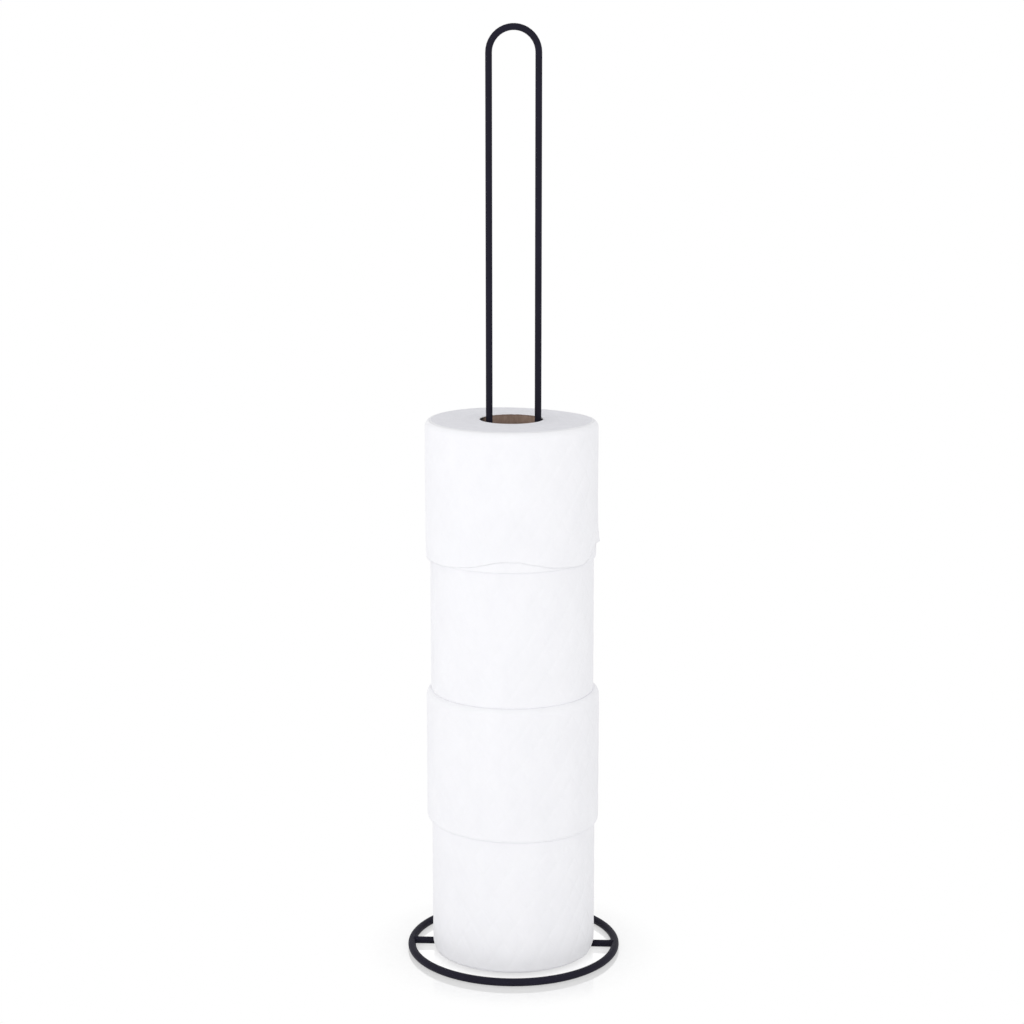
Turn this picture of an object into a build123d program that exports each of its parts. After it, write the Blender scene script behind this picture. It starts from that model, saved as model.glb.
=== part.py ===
"""Free-standing wire holder with four toilet rolls stacked over its hairpin post.

Millimetres, +Z up. The origin is on the floor at the centre of the ring, +X points
to the right of the crossbar and -Y to the front.
"""
import os
from math import radians, sqrt, tan

from build123d import *

# Foot ring
ring_diameter = 145.0  # over the outside of the wire
ring_wire = 5.2
ring_floor_flat = 0.15  # taken off the underside, so that the ring stands on a flat face
seam_bead_length = 3.0  # weld bead that closes the ring at the back
seam_bead_rise = 0.35

# Crossbar, from side to side inside the ring
bar_wire = 4.7
bar_floor_gap = 0.1

# Hairpin post
post_wire = 4.4
post_height = 622.0  # floor to the outside of the round top

# Weld beads on the crossbar
bar_bead_rise = 0.5
bar_bead_reach = 1.6
bar_bead_floor_gap = 0.8  # the beads stop above the floor, so that they never rock the ring
post_bead_rise = 0.8
post_bead_reach = 1.5
post_bead_drop = 1.3

# Cardboard cores
core_bore = 40.5
core_wall = 0.6
core_recess = 0.5  # core ends lie this far inside the paper's ends
post_clearance = 2.0  # between the post and the core, on each side

# Wound paper
paper_fit = 0.05  # between the core and the first turn
edge_round = 4.0  # soft outer edges
mouth_round = 1.0  # edges of the hole
tail_step = 0.6  # where the last turn ends
stack_gap = 0.3  # between a roll and what it rests on

# Rolls from the floor up: size, sideways place as a share of the play on the post,
# and the direction of the tail in degrees from +X
roll_1_diameter = 110.3
roll_1_height = 88.6
roll_1_play = -0.02
roll_1_tail = 118.0
roll_2_diameter = 116.0
roll_2_height = 91.2
roll_2_play = -0.24
roll_2_tail = 64.0
roll_3_diameter = 108.5
roll_3_height = 90.3
roll_3_play = -0.38
roll_3_tail = 140.0
roll_4_diameter = 115.0
roll_4_height = 91.4
roll_4_play = -0.73
roll_4_tail = 98.0

# Loose outer turns of the top roll: their lower edge is torn askew and stands proud of the rest
loose_lift = 1.7
loose_edge_height = 5.6  # lower edge above the roll's bottom, at the middle
loose_edge_slope_right = 5.2  # degrees, rising to the right
loose_edge_slope_front = 1.2  # degrees, rising to the front

# Places that follow from the sizes
ring_radius = (ring_diameter - ring_wire) / 2
ring_height = ring_wire / 2 - ring_floor_flat
ring_top = ring_height + ring_wire / 2
bar_radius = bar_wire / 2
bar_height = bar_radius + bar_floor_gap
bar_top = bar_height + bar_radius
post_radius = post_wire / 2
leg_offset = core_bore / 2 - post_clearance - post_radius
arch_height = post_height - post_radius - leg_offset
core_radius = core_bore / 2 + core_wall
paper_bore_radius = core_radius + paper_fit
bar_bead_start = ring_radius - ring_wire / 2 - bar_bead_reach
bar_bead_top = bar_height + bar_radius + bar_bead_rise

STANDING = (Align.CENTER, Align.CENTER, Align.MIN)


def lens_band(inner_radius, start, crest, end, rise):
    """Revolved bead about Z: flat inside, rounded outside, from start up to end."""
    outside = ThreePointArc((inner_radius, start), (inner_radius + rise, crest), (inner_radius, end))
    inside = Line((inner_radius, end), (inner_radius, start))
    return revolve(Plane.XZ * make_face([outside, inside]), Axis.Z)


def along_x(solid, height):
    """Turn a shape built along Z so that it lies along +X at a height."""
    return Pos(0, 0, height) * Rot(0, 90, 0) * solid


def full_ring():
    """Closed wire ring with its underside flattened at the floor."""
    section = Pos(ring_radius, ring_height) * Circle(ring_wire / 2)
    below = Pos(ring_radius, -ring_wire / 2) * Rectangle(2 * ring_wire, ring_wire)
    return revolve(Plane.XZ * (section - below), Axis.Z)


def seam_block():
    """Space at the back of the ring that the seam's bead fills."""
    block = Box(seam_bead_length, 4 * ring_wire, 2 * ring_wire, align=STANDING)
    return Pos(0, ring_radius, 0) * block


def base_ring():
    return full_ring() - seam_block()


def ring_seam_weld():
    """Bead between the ring's two ends, dressed flush on the outside and on the floor."""
    half = seam_bead_length / 2
    swell = lens_band(ring_wire / 2, -half, 0, half, seam_bead_rise)
    swell += Cylinder(ring_wire / 2, seam_bead_length)
    flush = Cylinder(ring_diameter / 2, 2 * ring_wire, align=STANDING)
    return (Pos(0, ring_radius, 0) * along_x(swell, ring_height)) & flush


def bar_rod():
    return along_x(Cylinder(bar_radius, 2 * ring_radius), bar_height)


def crossbar():
    """Straight wire whose ends are cut to the inside of the ring."""
    return bar_rod() - full_ring()


def crossbar_welds():
    """One bead round each end of the crossbar, open underneath."""
    inside_ring_wire = ring_radius - ring_wire / 2
    bead = lens_band(bar_radius, bar_bead_start, inside_ring_wire, ring_radius, bar_bead_rise)
    above = Pos(0, 0, bar_bead_floor_gap) * Box(ring_diameter, ring_diameter, ring_diameter, align=STANDING)
    right = (along_x(bead, bar_height) - full_ring()) & above
    return Compound(children=[right.solid(), mirror(right, about=Plane.YZ).solid()])


def hairpin_post():
    """Two legs and a round top from one wire, with feet cut to the crossbar's back."""
    left_foot, left_bend = (-leg_offset, 0, bar_height), (-leg_offset, 0, arch_height)
    right_foot, right_bend = (leg_offset, 0, bar_height), (leg_offset, 0, arch_height)
    crown = (0, 0, arch_height + leg_offset)
    arch = ThreePointArc(left_bend, crown, right_bend)
    path = Line(left_foot, left_bend) + arch + Line(right_bend, right_foot)
    section = Pos(-leg_offset, 0, bar_height) * Circle(post_radius)
    return sweep(section, path=path) - bar_rod()


def post_welds():
    """One bead round each foot of the hairpin."""
    start, end = bar_top - post_bead_drop, bar_top + post_bead_reach
    bead = lens_band(post_radius, start, bar_top, end, post_bead_rise)
    feet = [Pos(side * leg_offset, 0, 0) * bead - bar_rod() for side in (-1, 1)]
    return Compound(children=[foot.solid() for foot in feet])


def wound_barrel(radius, height):
    """Wound paper before its hole is cut: four quarter turns, each drawn in a little more."""
    shift = tail_step / 4
    inner = paper_bore_radius / 2
    rounding = min(edge_round, (radius - paper_bore_radius) / 3, height / 3)
    centres = [(0, 0), (0, shift), (-shift, shift), (-shift, 0)]
    barrel = Part()
    for turn, (x, y) in enumerate(centres):
        outer = radius - turn * shift
        section = Pos((inner + outer) / 2, height / 2) * Rectangle(outer - inner, height)
        section = fillet(section.vertices().group_by(Axis.X)[-1], rounding)
        quarter = revolve(Plane.XZ * section, Axis.Z, 90)
        barrel += Pos(x, y, 0) * Rot(0, 0, 90 * turn) * quarter
    return barrel


def paper_hole(height):
    """Shape of the hole through the paper, with rounded mouths."""
    rounding = min(mouth_round, height / 4)
    mouth = paper_bore_radius + rounding
    eased = mouth - rounding * sqrt(0.5)
    low = rounding * (1 - sqrt(0.5))
    top, bottom = height + mouth_round, -mouth_round
    sides = [
        Line((paper_bore_radius, rounding), (paper_bore_radius, height - rounding)),
        ThreePointArc((paper_bore_radius, height - rounding), (eased, height - low), (mouth, height)),
        Polyline((mouth, height), (mouth, top), (0, top), (0, bottom), (mouth, bottom), (mouth, 0)),
        ThreePointArc((mouth, 0), (eased, low), (paper_bore_radius, rounding)),
    ]
    return revolve(Plane.XZ * make_face(sides), Axis.Z)


def paper(diameter, height, tail):
    barrel = Rot(0, 0, tail) * wound_barrel(diameter / 2, height)
    return barrel - paper_hole(height)


def paper_with_loose_turns(diameter, height, tail):
    """Wound paper whose outer turns end early, at a slanted lower edge."""
    slope = (-tan(radians(loose_edge_slope_right)), tan(radians(loose_edge_slope_front)), 1)
    edge = Plane(origin=(0, 0, loose_edge_height), z_dir=slope)
    outer = Rot(0, 0, tail) * wound_barrel(diameter / 2, height)
    inner = Rot(0, 0, tail) * wound_barrel(diameter / 2 - loose_lift, height)
    return split(outer, bisect_by=edge, keep=Keep.TOP) + inner - paper_hole(height)


def core(height):
    length = height - 2 * core_recess
    tube = Cylinder(core_radius, length) - Cylinder(core_bore / 2, length)
    return Pos(0, 0, height / 2) * tube


def write(node, shape):
    shape.label = node
    export_step(shape, f"parts/{node}.step")


os.makedirs("parts", exist_ok=True)

# Welded stand
write("base_ring", base_ring())
write("ring_seam_weld", ring_seam_weld())
write("crossbar", crossbar())
write("crossbar_welds", crossbar_welds())
write("hairpin_post", hairpin_post())
write("post_welds", post_welds())

# The bottom roll sits on the crossbar, or on the ring and its beads where it is wider than they are
inside_ring = roll_1_diameter / 2 + stack_gap < bar_bead_start
seat = bar_top if inside_ring else max(bar_top, ring_top, bar_bead_top)

# Stack of rolls, each resting on the one below
rolls = [
    ("roll_1", roll_1_diameter, roll_1_height, roll_1_play, roll_1_tail, paper),
    ("roll_2", roll_2_diameter, roll_2_height, roll_2_play, roll_2_tail, paper),
    ("roll_3", roll_3_diameter, roll_3_height, roll_3_play, roll_3_tail, paper),
    ("roll_4", roll_4_diameter, roll_4_height, roll_4_play, roll_4_tail, paper_with_loose_turns),
]
for name, diameter, height, play, tail, wind in rolls:
    place = Pos(play * post_clearance, 0, seat + stack_gap)
    write(f"{name}_paper", place * wind(diameter, height, tail))
    write(f"{name}_core", place * core(height))
    seat += stack_gap + height
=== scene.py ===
"""Looks of the free-standing wire holder and its four toilet rolls: tissue, kraft cores, coated wire.

Metres, +Z up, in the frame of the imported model.
"""
from collections import namedtuple
from math import atan2, cos, exp, hypot, pi, radians, sin, sqrt, tau

import bmesh
import bpy
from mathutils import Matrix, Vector, noise


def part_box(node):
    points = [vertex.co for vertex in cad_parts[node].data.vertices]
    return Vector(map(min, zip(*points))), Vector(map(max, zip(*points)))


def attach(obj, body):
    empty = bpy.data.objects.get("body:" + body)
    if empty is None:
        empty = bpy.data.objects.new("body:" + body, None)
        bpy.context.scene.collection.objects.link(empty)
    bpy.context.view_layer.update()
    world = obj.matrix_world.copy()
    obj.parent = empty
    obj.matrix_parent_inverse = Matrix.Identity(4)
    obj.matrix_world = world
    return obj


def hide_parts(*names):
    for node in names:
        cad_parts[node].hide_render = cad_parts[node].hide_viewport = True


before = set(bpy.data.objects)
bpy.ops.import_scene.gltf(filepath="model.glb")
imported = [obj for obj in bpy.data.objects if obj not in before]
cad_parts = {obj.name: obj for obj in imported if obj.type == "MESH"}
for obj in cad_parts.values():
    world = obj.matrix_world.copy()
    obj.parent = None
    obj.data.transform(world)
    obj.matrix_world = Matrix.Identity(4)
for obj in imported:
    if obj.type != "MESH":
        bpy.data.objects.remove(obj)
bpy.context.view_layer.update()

MM = 0.001

# Camera, at the photograph's viewing angle
camera_distance = 1477.3 * MM  # level, from the post
camera_height = 606.3 * MM
camera_aside = -1.07 * MM
camera_turn = radians(2.8)  # round the post, towards the crossbar's right end
camera_tilt = radians(11.533)
camera_lens = 79.92
camera_sensor = 36.0

# Fineness of the meshes
turn_sectors = 12  # of a turned shape: one is spun, then repeated
paper_steps = 480  # round a roll
paper_row = 1.0 * MM
edge_segments = 7  # over a rounded edge
core_steps = 144
core_row = 1.2 * MM
tail_grid = (70, 96)  # columns round the roll, rows up it
loose_grid = (480, 86)
weld_distance = 0.01 * MM  # points closer than this become one
on_line = 0.1 * MM  # points closer than this to a line lie on it

# Wound tissue
# Waves count in a radian, and seeds are steps in the noise for a metre of height, so that rolls differ
edge_rounds = {  # lower and upper outer edge, sharper where a neighbour presses on it
    "roll_1": (2.0 * MM, 0.2 * MM),
    "roll_2": (3.0 * MM, 4.8 * MM),
    "roll_3": (0.2 * MM, 0.3 * MM),
    "roll_4": (1.4 * MM, 4.0 * MM),
}
mouth_round = 0.5 * MM
paper_fit = 0.05 * MM  # between a core and its paper
ply = 0.35 * MM  # one loose sheet
end_facing = 0.96  # a face counts as part of an end where its normal is this much up or down
wall_skin = 1.5 * MM  # depth over which the wall's relief dies away
wall_sway = 0.15 * MM  # out of round
sway_waves = 1.3
sway_length = 60.0 * MM  # of a wave, up the wall
sway_seed = 90

# Uneven ends of the turns
end_relief = 0.28 * MM
end_skin = 0.6 * MM  # depth over which the relief dies away
end_margin = 2.2 * MM  # round the hole, where the relief starts
end_mean = 0.5  # of the relief, with the shares of bundles and of single turns on top
bundle_share = 0.42
bundle_width = 1.7 * MM  # turns that stand or lie together
bundle_waves = 1.6
bundle_seed = 50
single_share = 0.25
single_width = 0.55 * MM
single_waves = 5
pressed_rim = 6.0 * MM  # flattened along the outside of an end that another roll presses on

# How the soft paper has settled
seat_press = 0.47 * MM  # of a roll down onto the one below: the gap between them and a little more
seat_slope = -0.02  # top of the bottom roll, falling to the right
seat_blend = 12.0 * MM  # round the hole, where the slope starts
sag_depth = 3.0 * MM  # of the bottom roll, beside the crossbar that carries it
sag_reach = 30.0 * MM  # up its wall
sag_start = 3.0 * MM  # from the crossbar's middle line
sag_full = 24.0 * MM  # from the same line
sag_rim = 0.85  # of the roll's radius, from which on the sag is full
dip_depth = 1.3 * MM  # of the top roll's upper end, at its lowest place
dip_direction = radians(52)
dip_spread = radians(50)
dip_reach = 25.0 * MM  # down its wall

# Pressed diamond quilting
quilt_width = 15.0 * MM
quilt_rise = 21.0 * MM
quilt_line = 1.1 * MM
quilt_depth = 0.20 * MM
quilt_puff = 0.12 * MM
quilt_crossing = 1.3  # greatest depth where two lines cross, in depths of one line
quilt_press = (0.75, 0.5)  # mean strength, and how far it varies from place to place
quilt_waves = 9
quilt_patch = 18.0 * MM  # height of a patch that is pressed harder or softer
quilt_start = 1.5 * MM  # from an end of the roll
quilt_full = 6.0 * MM  # from the same end

# Last sheet of a roll, stuck down at the back
tail_directions = {
    "roll_1": radians(118),
    "roll_2": radians(64),
    "roll_3": radians(140),
    "roll_4": radians(98),
}
tail_sweep = radians(58)
tail_margin = 0.3  # of a rounded edge's radius, left bare above and below the sheet
tail_root = 0.2 * MM  # sunk into the roll where the sheet leaves it
tail_rise = 1.6  # up from there, in depths of the root
tail_risen = 0.3  # of its length, over which it rises
tail_stuck = 0.8  # of its length, before it lifts
tail_lift = 0.34 * MM
tail_curl = (0.75, 0.5)  # mean of the lift, and how far it varies up the sheet
tail_curl_length = 26.0 * MM
tail_curl_along = 2  # waves along it
tail_curl_seed = 30
tooth = 2.6 * MM  # between the cuts of the perforation
tooth_depth = 0.5 * MM

# Loose outer turn of the top roll, torn along its lower edge
loose_gap = 1.2 * MM  # from the roll's body to the outside of the turn
loose_overlap = radians(28)
loose_step = 0.55 * MM  # from its inner end to its outer end
loose_shoulder = radians(64)  # how far its upper edge lies over the roll's rounded edge
loose_seat = 0.08 * MM  # outside of its upper edge above the roll's rounded edge
loose_margin = 6.0 * MM  # over its torn edge and under its shoulder, where the quilting starts
loose_tuck = 0.45 * MM  # of the torn edge towards the roll, away from the flare
loose_stuck = 0.94  # of its length, before its outer end lifts
loose_end_lift = 0.4 * MM
loose_curl = (0.7, 0.6)  # mean of that lift, and how far it varies up the sheet
loose_curl_length = 24.0 * MM
loose_curl_slice = (0.5, 2.1)  # where the noise is read
loose_whole = 0.99  # of its length, before the teeth of the perforation
loose_slack = 0.08 * MM  # between the turn and the paper that fills it
loose_pocket = 7.0 * MM  # depth of the open space behind the torn edge
loose_blend = radians(5)  # over which the paper inside steps down at the turn's inner end
flare_direction = radians(4)
flare_spread = radians(26)
flare_rise = 1.4 * MM
flare_reach = 8.0 * MM  # above the torn edge
torn_base = -0.3 * MM
torn_lowest = -0.8 * MM
torn_waves = [  # direction, fall before it and fall after it in degrees, rise in mm
    (272, 27, 27, 7.1),
    (348, 12, 30, 11.3),
    (40, 30, 45, 3.6),
    (110, 34, 34, 3.2),
]
torn_shreds = [(5, 0.5), (16, 0.3), (45, 0.15)]  # waves in a radian, height in mm
torn_slice = 3.7  # where the noise is read

# Cardboard cores
core_wall = 0.6 * MM
core_lead = 100.0 * MM  # rise of the wound strip in one turn
core_seam = 1.1 * MM  # half the width of the groove along the strip's edge
core_seam_depth = 0.22 * MM
core_fray = 0.14 * MM
fray_waves = 11
fray_seed = 70
leg_shadow_spread = radians(29)  # to each side of where a wire leg stands beside a core: the spread of the leg's painted shadow on the board

# Finishes
tissue_white = (0.87, 0.87, 0.89)
tissue_clouds = ((0.866, 0.866, 0.892), (0.892, 0.892, 0.916))
# painted shade: the cut ends are greyer than the wall because the ends take less of the light, and the
# rings are greyer between the bundles
tissue_end_white = (0.85, 0.85, 0.88)
tissue_rings_and_shade = ((0.74, 0.74, 0.78), (0.86, 0.86, 0.90))
tissue_ring_width = 0.42 * MM
tissue_ring_drift = 0.22  # share of a slow drift in the rings
kraft_brown = (0.36, 0.26, 0.20)
kraft_streaks = ((0.31, 0.215, 0.17), (0.47, 0.34, 0.275))
kraft_clean = (1, 1, 1)  # leaves the brown as it is, and the next three darken it
kraft_fleck = (0.72, 0.66, 0.60)
# darker band along each end of a core
kraft_end_band = (0.42, 0.38, 0.36)
# painted shadow of the wire legs on the inside of a core, near black
kraft_leg_shadow = (0.07, 0.07, 0.08)
coat_black = (0.013, 0.012, 0.019)
coat_drift = ((0.012, 0.011, 0.019), (0.016, 0.015, 0.027))
coat_sheen = ((0.44, 0.44, 0.44), (0.56, 0.56, 0.56))  # roughness, as a grey

# Studio
floor_radius = 4.0
floor_drop = 0.05 * MM  # below the ring's underside
floor_segments = 96
floor_white = (0.95, 0.95, 0.96)  # for the rays that light the object
floor_grey = (0.35, 0.35, 0.35)  # for what is seen, with the lift on top
floor_roughness = 0.07
floor_ior = 2.4
floor_lift_under = 0.66  # light added to what is seen, under the bottom roll
floor_lift_round = 0.48  # the same, round it
floor_lift_start = 55.0 * MM  # from the middle, where the first passes to the second
floor_lift_end = 75.0 * MM
floor_fade_start = 80.0 * MM  # from the middle, where the floor's own look passes to white
floor_fade_end = 108.0 * MM
world_light = 0.88  # for the rays that light the object
world_white = 1.0  # for what is seen
softbox_size = (1.4, 1.2)  # width, height
softbox_aim = (0, 0, 0.25)
softboxes = [  # name, place, power in watts
    ("key_softbox", (-0.8, -2.1, 0.45), 9.3),
    ("left_softbox", (-2.1, -0.5, 0.45), 5.0),
    ("right_softbox", (1.9, -1.1, 0.45), 5.6),
]

Roll = namedtuple(
    "Roll",
    "name x y core_inner core_outer core_bottom core_top bore radius bottom top low_round high_round",
)


def roll_sizes(name):
    """Axis, radii and heights of one roll, read from its solids."""
    paper_low, paper_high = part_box(f"{name}_paper")
    core_low, core_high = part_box(f"{name}_core")
    x = (core_low.x + core_high.x) / 2
    y = (core_low.y + core_high.y) / 2
    core_outer = (core_high.x - core_low.x) / 2
    radius = max(paper_high.x - x, x - paper_low.x, paper_high.y - y, y - paper_low.y)
    return Roll(
        name, x, y, core_outer - core_wall, core_outer, core_low.z, core_high.z,
        core_outer + paper_fit, radius, paper_low.z, paper_high.z, *edge_rounds[name],
    )


# Small helpers


def linked(name, data):
    """New object in the scene."""
    obj = bpy.data.objects.new(name, data)
    bpy.context.scene.collection.objects.link(obj)
    return obj


def piece(name, bm, body, slot, *materials):
    """Object made from a bmesh, smooth, riding on a body."""
    mesh = bpy.data.meshes.new(name)
    for face in bm.faces:
        face.smooth = True
    bm.to_mesh(mesh)
    bm.free()
    for material in materials:
        mesh.materials.append(material)
    obj = linked(name, mesh)
    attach(obj, body)
    return obj


def turned(bm, roll, steps):
    """Turn an outline round a roll's axis: one sector is spun, then repeated and welded."""
    turn = dict(cent=(roll.x, roll.y, 0), axis=(0, 0, 1))
    sector = tau / turn_sectors
    bmesh.ops.spin(bm, geom=bm.verts[:] + bm.edges[:], angle=sector, steps=steps // turn_sectors, **turn)
    bmesh.ops.spin(
        bm, geom=bm.verts[:] + bm.edges[:] + bm.faces[:], angle=tau - sector, steps=turn_sectors - 1,
        use_duplicate=True, **turn,
    )
    bmesh.ops.remove_doubles(bm, verts=bm.verts[:], dist=weld_distance)
    bmesh.ops.recalc_face_normals(bm, faces=bm.faces[:])


def ease(low, high, value):
    """Smooth step from 0 at low to 1 at high."""
    share = min(1, max(0, (value - low) / (high - low)))
    return share * share * (3 - 2 * share)


def turn_between(direction, angle):
    """Smallest turn from one direction to another, in radians."""
    return (angle - direction + pi) % tau - pi


def uneven(strength, place):
    """Strength at a place, from its mean and how far the noise moves it."""
    mean, spread = strength
    return mean + spread * noise.noise(place)


def round_place(waves, angle, along):
    """Place in the noise for a direction, so that it closes on itself round a roll."""
    return (waves * cos(angle), waves * sin(angle), along)


# Shapes of the tissue


def quilting(radius, angle, height):
    """Radial move of the pressed diamonds: lines go in, fields puff out."""
    count = round(tau * radius / quilt_width)
    around = count * angle / tau
    up = height / quilt_rise
    spacing = 1 / hypot(count / (tau * radius), 1 / quilt_rise)
    line = 0
    field = 1
    for place in (around + up, around - up):
        off = abs(place - round(place))
        line += exp(-(off * spacing / quilt_line) ** 2)
        field *= sin(pi * off)
    press = uneven(quilt_press, round_place(quilt_waves, angle, height / quilt_patch))
    return press * (quilt_puff * field - quilt_depth * min(line, quilt_crossing))


def sway(roll, angle, height):
    """Slow wander of the wall, so that no roll is quite round."""
    x, y, z = round_place(sway_waves, angle, height / sway_length)
    return wall_sway * noise.noise((x + roll.bottom * sway_seed, y, z))


def settled(roll, x, y, height):
    """How far the soft paper has shifted up or down at a place on a roll."""
    share = (height - roll.bottom) / (roll.top - roll.bottom)
    reach = hypot(x, y)
    tilt = seat_slope * x * ease(roll.bore, roll.bore + seat_blend, reach)
    if roll.name == "roll_1":
        beside = ease(sag_start, sag_full, abs(y)) * ease(roll.bore, roll.radius * sag_rim, reach)
        sag = sag_depth * beside * ease(sag_reach, 0, height - roll.bottom)
        return tilt * share - sag
    if roll.name == "roll_2":
        return tilt * (1 - share)
    if roll.name == "roll_4":
        off = turn_between(dip_direction, atan2(y, x)) / dip_spread
        near_rim = ease(roll.bore, roll.radius, reach) * ease(roll.top - dip_reach, roll.top, height)
        return -dip_depth * exp(-off * off) * near_rim
    return 0


def torn_edge(angle):
    """Height of the loose turn's lower edge above the bottom of the roll."""
    height = torn_base
    for direction, before, after, rise in torn_waves:
        off = turn_between(radians(direction), angle)
        off /= radians(before if off < 0 else after)
        height += rise * MM * exp(-off * off)
    for waves, depth in torn_shreds:
        height += depth * MM * noise.noise(round_place(waves, angle, torn_slice))
    return max(height, torn_lowest)


def flare_out(angle, over_edge):
    """How far the loose turn stands off at a height over its torn edge: out at the flare, in elsewhere."""
    off = turn_between(flare_direction, angle) / flare_spread
    flared = exp(-off * off)
    return (flared * flare_rise - (1 - flared) * loose_tuck) * exp(-over_edge / flare_reach)


def loose_fill(roll, angle, height):
    """How far the paper inside the loose turn swells to fill it, from the torn edge to the shoulder."""
    over_edge = height - roll.bottom - torn_edge(angle)
    to_shoulder = roll.top - roll.high_round - height
    past_inner_end = (angle - tail_directions[roll.name]) % tau
    step_down = ease(0, loose_blend, tau - past_inner_end)
    spiral = loose_step * past_inner_end / (tau + loose_overlap) * step_down
    room = loose_gap - loose_step + spiral - ply - loose_slack + flare_out(angle, max(over_edge, 0))
    return max(room, 0) * ease(0, loose_pocket, over_edge) * ease(0, loose_pocket, to_shoulder)


def wall_move(roll, angle, height, from_end):
    """How far a roll's wall moves out: sway, quilting, and the fill of the loose turn."""
    inside = ease(quilt_start, quilt_full, from_end)
    move = sway(roll, angle, height) + inside * quilting(roll.radius, angle, height - roll.bottom)
    if roll.name == "roll_4":
        move += loose_fill(roll, angle, height)
    return move


def end_sink(roll, angle, reach):
    """How far the edge of a turn stands back in a roll's end, as a share of the relief."""
    x, y, z = round_place(bundle_waves, angle, reach / bundle_width)
    bundle = noise.noise((z, x, y + roll.top * bundle_seed))
    x, y, z = round_place(single_waves, angle, reach / single_width)
    single = noise.noise((z, x, y))
    return end_mean + bundle_share * bundle + single_share * single


def shape_body(bm, roll, radius):
    """Relief of the wound paper: quilted wall, uneven ends."""
    winding = bm.verts.layers.float.new("winding")
    for vert in bm.verts:
        x = vert.co.x - roll.x
        y = vert.co.y - roll.y
        reach = hypot(x, y)
        angle = atan2(y, x)
        height = vert.co.z
        vert[winding] = reach
        vert.co.z += settled(roll, x, y, height)
        from_end = min(height - roll.bottom, roll.top - height)
        wall = ease(radius - wall_skin, radius, reach)
        flat = ease(end_skin, 0, from_end) * ease(roll.bore, roll.bore + end_margin, reach)
        if wall:
            move = wall * wall_move(roll, angle, height, from_end)
            vert.co.x += move * cos(angle)
            vert.co.y += move * sin(angle)
        if flat:
            sink = flat * end_relief * end_sink(roll, angle, reach)
            upper = height > (roll.bottom + roll.top) / 2
            free_end = "roll_4" if upper else "roll_1"
            if roll.name != free_end:
                sink *= ease(radius, radius - pressed_rim, reach)
            vert.co.z += -sink if upper else sink


def paper_body(roll, radius, materials):
    """Wound paper: one soft-edged outline turned round the axis."""
    bm = bmesh.new()
    inner = roll.x + roll.bore
    outer = roll.x + radius
    bottom = roll.bottom if roll.name == "roll_1" else roll.bottom - seat_press
    corners = ((inner, bottom), (outer, bottom), (outer, roll.top), (inner, roll.top))
    verts = [bm.verts.new((x, roll.y, z)) for x, z in corners]
    bm.faces.new(verts)
    roundings = (mouth_round, roll.low_round, roll.high_round, mouth_round)
    for vert, rounding in zip(verts, roundings):
        bmesh.ops.bevel(
            bm, geom=[vert], offset=rounding, affect="VERTICES", segments=edge_segments,
            profile=0.5, material=-1,
        )
    bmesh.ops.delete(bm, geom=bm.faces[:], context="FACES_ONLY")
    for edge in bm.edges[:]:
        on_bore = all(abs(vert.co.x - inner) < on_line for vert in edge.verts)
        cuts = round(edge.calc_length() / paper_row) - 1
        if cuts > 1 and not on_bore:
            bmesh.ops.subdivide_edges(bm, edges=[edge], cuts=cuts)
    turned(bm, roll, paper_steps)
    for face in bm.faces:
        face.material_index = 1 if abs(face.normal.z) > end_facing else 0
    shape_body(bm, roll, radius)
    made = piece(f"{roll.name}_tissue", bm, roll.name, "tissue_paper", *materials)
    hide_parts(f"{roll.name}_paper")


def sheet_grid(columns, rows):
    """Flat grid over the unit square, to be laid on a roll."""
    bm = bmesh.new()
    bmesh.ops.create_grid(bm, x_segments=columns, y_segments=rows, size=0.5)
    bmesh.ops.translate(bm, verts=bm.verts[:], vec=(0.5, 0.5, 0))
    return bm


def thicken(bm):
    """Give a sheet the thickness of a ply."""
    bmesh.ops.recalc_face_normals(bm, faces=bm.faces[:])
    bmesh.ops.solidify(bm, geom=bm.faces[:], thickness=ply)
    bmesh.ops.recalc_face_normals(bm, faces=bm.faces[:])


def perforated(height):
    """How far the torn perforation stands back at a height: small even teeth."""
    share = height / tooth % 1
    return tooth_depth * abs(2 * share - 1)


def wall_reach(roll, height):
    """Radius of a roll's wall at a height, drawn in over its rounded edges."""
    ends = ((height - roll.bottom, roll.low_round), (roll.top - height, roll.high_round))
    for from_end, rounding in ends:
        if from_end < rounding:
            past = rounding - from_end
            return roll.radius - rounding + sqrt(rounding * rounding - past * past)
    return roll.radius


def lay(vert, roll, angle, reach, height):
    """Put a sheet's point at its place on a roll, settled with the paper."""
    x, y = reach * cos(angle), reach * sin(angle)
    vert.co = (roll.x + x, roll.y + y, height + settled(roll, x, y, height))


def tail_sheet(roll, materials):
    """Last sheet at the back, leaving the roll and ending in a torn perforation."""
    bm = sheet_grid(*tail_grid)
    first = tail_directions[roll.name]
    low = roll.bottom + tail_margin * roll.low_round
    high = roll.top - tail_margin * roll.high_round
    for vert in bm.verts:
        along, up = vert.co.x, vert.co.y
        height = low + up * (high - low)
        end = ease(tail_stuck, 1, along)
        angle = first + (1 - along) * tail_sweep + end * perforated(height) / roll.radius
        curl = (height / tail_curl_length, along * tail_curl_along, roll.top * tail_curl_seed)
        lift = -tail_root + ease(0, tail_risen, along) * tail_rise * tail_root
        lift += end * tail_lift * uneven(tail_curl, curl)
        quilted = quilting(roll.radius, angle, height - roll.bottom)
        reach = wall_reach(roll, height) + lift + sway(roll, angle, height) + quilted
        lay(vert, roll, angle, reach, height)
    thicken(bm)
    made = piece(f"{roll.name}_tail", bm, roll.name, "tissue_paper", *materials)
    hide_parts(f"{roll.name}_paper")


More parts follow.
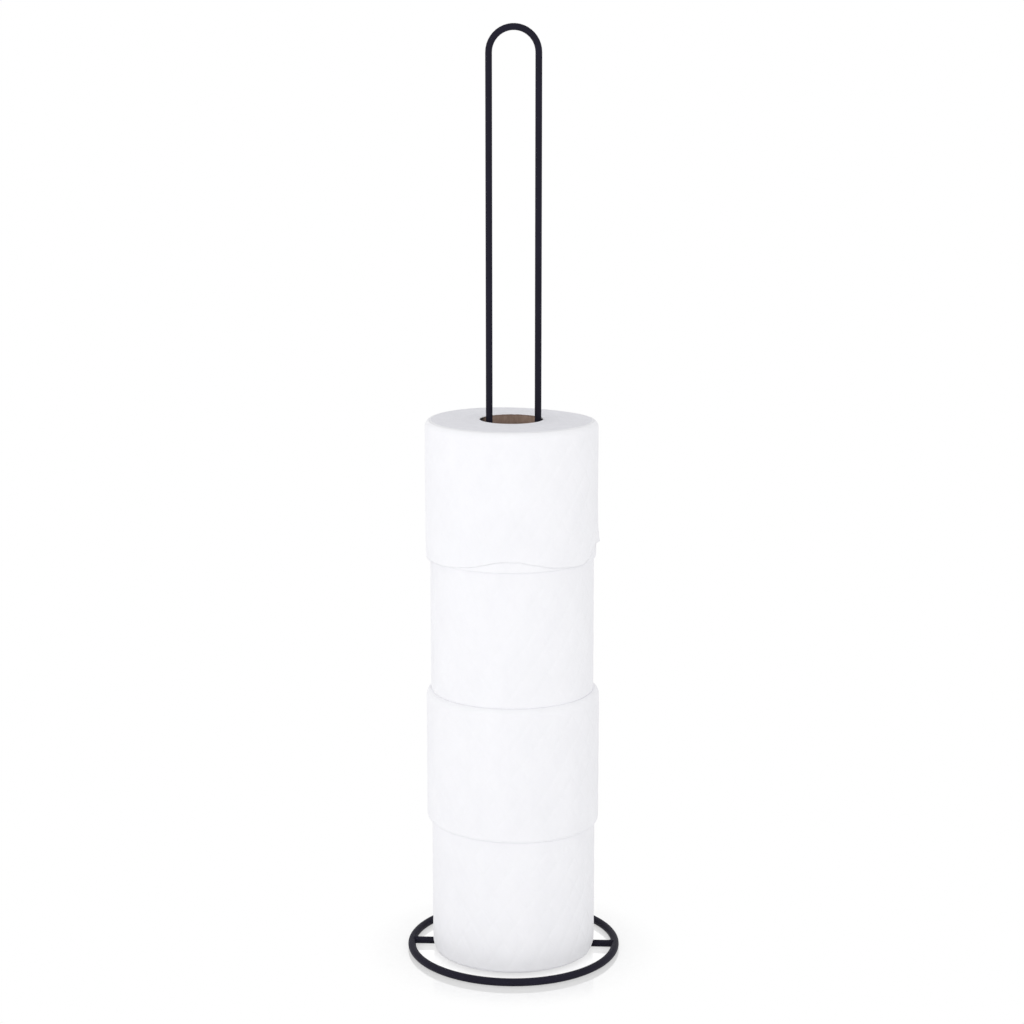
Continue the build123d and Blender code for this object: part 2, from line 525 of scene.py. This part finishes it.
def loose_turn(roll, materials):
    """Outermost turn of the top roll: once round and a little more, torn below, flaring at the right."""
    bm = sheet_grid(*loose_grid)
    first = tail_directions[roll.name]
    sweep = tau + loose_overlap
    body = roll.radius - loose_gap
    edge_round = roll.high_round
    centre = body - edge_round
    shoulder_height = roll.top - edge_round
    for vert in bm.verts:
        along, up = vert.co.x, vert.co.y
        angle = first + along * sweep
        gap = loose_gap - loose_step * (1 - along)
        low = roll.bottom + torn_edge(angle)
        straight = shoulder_height - low
        arc = loose_shoulder * (edge_round + gap)
        run = up * (straight + arc)
        if run < straight:
            height = low + run
            reach = body + gap
        else:
            bend = (run - straight) / (edge_round + gap)
            close = gap - (gap - loose_seat) * bend / loose_shoulder
            height = shoulder_height + (edge_round + close) * sin(bend)
            reach = centre + (edge_round + close) * cos(bend)
        curl = uneven(loose_curl, (height / loose_curl_length, *loose_curl_slice))
        lift = ease(loose_stuck, 1, along) * loose_end_lift * curl
        inside = ease(0, loose_margin, run) * ease(0, loose_margin, straight - run)
        quilted = inside * quilting(roll.radius, angle, height - roll.bottom)
        reach += flare_out(angle, run) + lift + sway(roll, angle, height) + quilted
        angle -= ease(loose_whole, 1, along) * perforated(height) / roll.radius
        lay(vert, roll, angle, reach, height)
    thicken(bm)
    made = piece(f"{roll.name}_loose_turn", bm, roll.name, "tissue_paper", *materials)
    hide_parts(f"{roll.name}_paper")


# Cardboard core


def core_tube(roll, materials):
    """Cardboard core: a tube with the groove of its wound strip, frayed rims, and the painted shadow of
    the wire legs at its sides.
    """
    bm = bmesh.new()
    corners = [
        (roll.core_inner, roll.core_bottom), (roll.core_outer, roll.core_bottom),
        (roll.core_outer, roll.core_top), (roll.core_inner, roll.core_top),
    ]
    verts = [bm.verts.new((roll.x + x, roll.y, z)) for x, z in corners]
    for start, end in zip(verts, verts[1:] + verts[:1]):
        bm.edges.new((start, end))
    bore_line = roll.x + roll.core_inner + on_line
    inside = [edge for edge in bm.edges if all(vert.co.x < bore_line for vert in edge.verts)]
    cuts = round((roll.core_top - roll.core_bottom) / core_row)
    bmesh.ops.subdivide_edges(bm, edges=inside, cuts=cuts)
    turned(bm, roll, core_steps)
    end_band = bm.verts.layers.float.new("end_band")
    leg_shadow = bm.verts.layers.float.new("leg_shadow")
    for vert in bm.verts:
        x = vert.co.x - roll.x
        y = vert.co.y - roll.y
        angle = atan2(y, x)
        height = vert.co.z - roll.core_bottom
        from_end = min(height, roll.core_top - vert.co.z)
        # darker band within a row of each end
        vert[end_band] = ease(core_row, 0, from_end)
        # painted shadow of a wire leg, strongest where the leg stands beside the core
        vert[leg_shadow] = exp(-(atan2(abs(y), abs(x)) / leg_shadow_spread) ** 2)
        turns = height / core_lead - angle / tau
        off = abs(turns - round(turns)) * core_lead
        groove = core_seam_depth * exp(-(off / core_seam) ** 2)
        if hypot(x, y) < roll.core_inner + on_line:
            vert.co.x += groove * cos(angle)
            vert.co.y += groove * sin(angle)
        if from_end < on_line:
            vert.co.z += core_fray * noise.noise(round_place(fray_waves, angle, roll.top * fray_seed))
    made = piece(f"{roll.name}_kraft_core", bm, roll.name, "core_board", *materials)
    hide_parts(f"{roll.name}_core")


# Nodes


def new_material(name, colour, roughness):
    """Node material with its shader's plain values set."""
    material = bpy.data.materials.new(name)
    material.use_nodes = True
    shader = material.node_tree.nodes["Principled BSDF"]
    shader.inputs["Base Color"].default_value = (*colour, 1)
    shader.inputs["Roughness"].default_value = roughness
    return material, shader


def add_node(material, kind, settings=None, **inputs):
    """New node. An input goes by its name, or by its number as _0, and a socket given to it is linked."""
    tree = material.node_tree
    made = tree.nodes.new(kind)
    for name, value in (settings or {}).items():
        setattr(made, name, value)
    for name, value in inputs.items():
        socket = made.inputs[int(name[1:])] if name[1:].isdigit() else made.inputs[name]
        if isinstance(value, bpy.types.NodeSocket):
            tree.links.new(value, socket)
        else:
            socket.default_value = value
    return made


def join(material, source, target):
    """Link two sockets."""
    material.node_tree.links.new(source, target)


def object_place(material, stretch=(1, 1, 1)):
    """Object coordinates, stretched."""
    coordinates = add_node(material, "ShaderNodeTexCoord")
    mapping = add_node(material, "ShaderNodeMapping", Vector=coordinates.outputs["Object"], Scale=stretch)
    return mapping.outputs["Vector"]


def noise_texture(material, place, scale, detail=3.0, roughness=0.55):
    """Noise over a piece, its scale in lumps to a metre."""
    made = add_node(
        material, "ShaderNodeTexNoise", Vector=place, Scale=scale, Detail=detail, Roughness=roughness,
    )
    return made.outputs["Fac"]


def ramp(material, value, start, end, colours):
    """Colour that passes from the first to the second as a value goes from start to end."""
    made = add_node(material, "ShaderNodeValToRGB", Fac=value)
    for element, position, colour in zip(made.color_ramp.elements, (start, end), colours):
        element.position = position
        element.color = (*colour, 1)
    return made.outputs["Color"]


def calculation(material, operation, first, second):
    """Result of a Math node on two values."""
    made = add_node(material, "ShaderNodeMath", {"operation": operation}, _0=first, _1=second)
    return made.outputs["Value"]


def smooth_range(material, value, start, end, at_start, at_end):
    """Level that passes smoothly from one to another as a value goes from start to end."""
    made = add_node(
        material, "ShaderNodeMapRange", {"interpolation_type": "SMOOTHSTEP"},
        _0=value, _1=start, _2=end, _3=at_start, _4=at_end,
    )
    return made.outputs["Result"]


def mixed_colour(material, blend, share, first, second):
    """Two colours mixed, with the second one's share."""
    made = add_node(
        material, "ShaderNodeMix", {"data_type": "RGBA", "blend_type": blend},
        _0=share, _6=first, _7=second,
    )
    return made.outputs[2]


def attribute(material, name):
    """Value that a piece carries at its points."""
    return add_node(material, "ShaderNodeAttribute", {"attribute_name": name}).outputs["Fac"]


def bump(material, height, strength, distance, below=None):
    """Fine relief in a finish, on top of another where one is given."""
    inputs = {"Height": height, "Strength": strength, "Distance": distance}
    if below:
        inputs["Normal"] = below
    return add_node(material, "ShaderNodeBump", **inputs).outputs["Normal"]


# Finishes


def tissue_wall():
    """Creped tissue: near white, with fine ridges along the axis and loose fibres."""
    material, shader = new_material("tissue_wall", tissue_white, roughness=0.95)
    ridges = noise_texture(material, object_place(material, stretch=(1, 1, 0.10)), scale=1900, detail=2)
    fibres = noise_texture(material, object_place(material), scale=900, detail=4, roughness=0.7)
    clouds = noise_texture(material, object_place(material, stretch=(1, 1, 0.6)), scale=60)
    colour = ramp(material, clouds, start=0.3, end=0.7, colours=tissue_clouds)
    join(material, colour, shader.inputs["Base Color"])
    fibrous = bump(material, fibres, strength=0.25, distance=0.12 * MM)
    creped = bump(material, ridges, strength=0.35, distance=0.15 * MM, below=fibrous)
    join(material, creped, shader.inputs["Normal"])
    shader.inputs["Specular IOR Level"].default_value = 0.15
    shader.inputs["Sheen Weight"].default_value = 0.08
    shader.inputs["Sheen Roughness"].default_value = 0.6
    return material


def tissue_end():
    """Cut edges of the turns: fine rings, in a colour with painted shade, greyer than the wall and greyer
    still between the bundles.
    """
    material, shader = new_material("tissue_end", tissue_end_white, roughness=0.95)
    turn_count = calculation(material, "DIVIDE", attribute(material, "winding"), tissue_ring_width)
    drift = noise_texture(material, object_place(material), scale=160, detail=2)
    turns = add_node(
        material, "ShaderNodeTexNoise", {"noise_dimensions": "1D"},
        W=turn_count, Scale=1.0, Detail=3.0, Roughness=0.7,
    )
    mixed = add_node(
        material, "ShaderNodeMix", {"data_type": "FLOAT"},
        _0=tissue_ring_drift, _2=turns.outputs["Fac"], _3=drift,
    )
    rings = mixed.outputs["Result"]
    colour = ramp(material, rings, start=0.3, end=0.7, colours=tissue_rings_and_shade)
    join(material, colour, shader.inputs["Base Color"])
    join(material, bump(material, rings, strength=0.6, distance=0.25 * MM), shader.inputs["Normal"])
    shader.inputs["Specular IOR Level"].default_value = 0.15
    return material


def kraft_board():
    """Grey-brown board with fibres and darker flecks, darker along each end, with the painted shadow of
    the wire legs where they stand beside it.
    """
    material, shader = new_material("kraft_board", kraft_brown, roughness=0.85)
    streaks = noise_texture(
        material, object_place(material, stretch=(1, 1, 0.35)), scale=420, detail=4, roughness=0.65,
    )
    flecks = noise_texture(material, object_place(material), scale=1500, detail=2)
    end_band = attribute(material, "end_band")
    leg_shadow = attribute(material, "leg_shadow")
    darker = [
        ramp(material, flecks, start=0.68, end=0.76, colours=(kraft_clean, kraft_fleck)),
        ramp(material, end_band, start=0, end=1, colours=(kraft_clean, kraft_end_band)),
        # painted shadow of the wire legs
        ramp(material, leg_shadow, start=0.08, end=0.75, colours=(kraft_clean, kraft_leg_shadow)),
    ]
    colour = ramp(material, streaks, start=0.25, end=0.75, colours=kraft_streaks)
    for layer in darker:
        colour = mixed_colour(material, "MULTIPLY", 1.0, colour, layer)
    join(material, colour, shader.inputs["Base Color"])
    join(material, bump(material, streaks, strength=0.3, distance=0.1 * MM), shader.inputs["Normal"])
    shader.inputs["Specular IOR Level"].default_value = 0.2
    return material


def coated_wire():
    """Satin powder coat, blue-black, with a fine orange peel."""
    material, shader = new_material("coated_wire", coat_black, roughness=0.5)
    place = object_place(material)
    peel = noise_texture(material, place, scale=1400, detail=2)
    drift = noise_texture(material, place, scale=35)
    colour = ramp(material, drift, start=0.3, end=0.7, colours=coat_drift)
    join(material, colour, shader.inputs["Base Color"])
    sheen = ramp(material, drift, start=0.3, end=0.7, colours=coat_sheen)
    join(material, sheen, shader.inputs["Roughness"])
    join(material, bump(material, peel, strength=0.03, distance=0.05 * MM), shader.inputs["Normal"])
    shader.inputs["Specular IOR Level"].default_value = 0.06
    return material


# Studio


def seen_light(material):
    """1 for camera, glossy and transmission rays, 0 for the rays that light the object."""
    rays = add_node(material, "ShaderNodeLightPath").outputs
    glossy = calculation(material, "MAXIMUM", rays["Is Camera Ray"], rays["Is Glossy Ray"])
    return calculation(material, "MAXIMUM", glossy, rays["Is Transmission Ray"])


def floor_finish():
    """Pale polish that fades to white away from the object."""
    material, shader = new_material("studio_floor", floor_white, floor_roughness)
    shader.inputs["IOR"].default_value = floor_ior
    seen = seen_light(material)
    shade = mixed_colour(material, "MIX", seen, (*floor_white, 1), (*floor_grey, 1))
    join(material, shade, shader.inputs["Base Color"])
    coordinates = add_node(material, "ShaderNodeTexCoord")
    length = add_node(
        material, "ShaderNodeVectorMath", {"operation": "LENGTH"}, _0=coordinates.outputs["Object"],
    )
    reach = length.outputs["Value"]
    level = smooth_range(
        material, reach, floor_lift_start, floor_lift_end, floor_lift_under, floor_lift_round,
    )
    lift = add_node(
        material, "ShaderNodeEmission", Strength=calculation(material, "MULTIPLY", seen, level),
    )
    lifted = add_node(
        material, "ShaderNodeAddShader", _0=shader.outputs["BSDF"], _1=lift.outputs["Emission"],
    )
    white = add_node(material, "ShaderNodeEmission", Strength=seen)
    fade = smooth_range(material, reach, floor_fade_start, floor_fade_end, at_start=0, at_end=1)
    faded = add_node(
        material, "ShaderNodeMixShader", _0=calculation(material, "MULTIPLY", fade, seen),
        _1=lifted.outputs["Shader"], _2=white.outputs["Emission"],
    )
    output = material.node_tree.nodes["Material Output"]
    join(material, faded.outputs["Shader"], output.inputs["Surface"])
    return material


def studio_floor():
    """Wide round floor under the ring."""
    bm = bmesh.new()
    bmesh.ops.create_circle(bm, cap_ends=True, segments=floor_segments, radius=floor_radius)
    bmesh.ops.translate(bm, verts=bm.verts[:], vec=(0, 0, -floor_drop))
    mesh = bpy.data.meshes.new("studio_floor")
    bm.to_mesh(mesh)
    bm.free()
    mesh.materials.append(floor_finish())
    floor = linked("studio_floor", mesh)


def studio_world():
    """White round the object for what is seen, softer for what lights it."""
    world = bpy.data.worlds.new("studio")
    world.use_nodes = True
    bpy.context.scene.world = world
    background = world.node_tree.nodes["Background"]
    background.inputs["Color"].default_value = (1, 1, 1, 1)
    strength = add_node(
        world, "ShaderNodeMapRange", _0=seen_light(world), _3=world_light, _4=world_white,
    )
    join(world, strength.outputs["Result"], background.inputs["Strength"])


def softbox(name, place, power):
    """Area light at a place, turned to what it lights."""
    data = bpy.data.lights.new(name, "AREA")
    data.shape = "RECTANGLE"
    data.size, data.size_y = softbox_size
    data.energy = power
    lamp = linked(name, data)
    lamp.location = place
    lamp.rotation_euler = (Vector(softbox_aim) - Vector(place)).to_track_quat("-Z", "Y").to_euler()


def photo_camera():
    """Camera where the photograph was taken from."""
    data = bpy.data.cameras.new("photo_camera")
    data.lens = camera_lens
    data.sensor_width = camera_sensor
    camera = linked("photo_camera", data)
    camera.location = (
        camera_aside * cos(camera_turn) + camera_distance * sin(camera_turn),
        camera_aside * sin(camera_turn) - camera_distance * cos(camera_turn),
        camera_height,
    )
    camera.rotation_euler = (pi / 2 - camera_tilt, 0, camera_turn)
    bpy.context.scene.camera = camera


# Everything put together

wall, end, kraft, coat = tissue_wall(), tissue_end(), kraft_board(), coated_wire()
for name in ("roll_1", "roll_2", "roll_3", "roll_4"):
    roll = roll_sizes(name)
    core_tube(roll, [kraft])
    if name == "roll_4":
        paper_body(roll, roll.radius - loose_gap, [wall, end])
        loose_turn(roll, [wall])
    else:
        paper_body(roll, roll.radius, [wall, end])
        tail_sheet(roll, [wall])

for node in ("base_ring", "ring_seam_weld", "crossbar", "crossbar_welds", "hairpin_post", "post_welds"):
    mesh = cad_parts[node].data
    mesh.materials.clear()
    mesh.materials.append(coat)

studio_floor()
studio_world()
for name, place, power in softboxes:
    softbox(name, place, power)
photo_camera()
bpy.context.scene.view_settings.view_transform = "Standard"
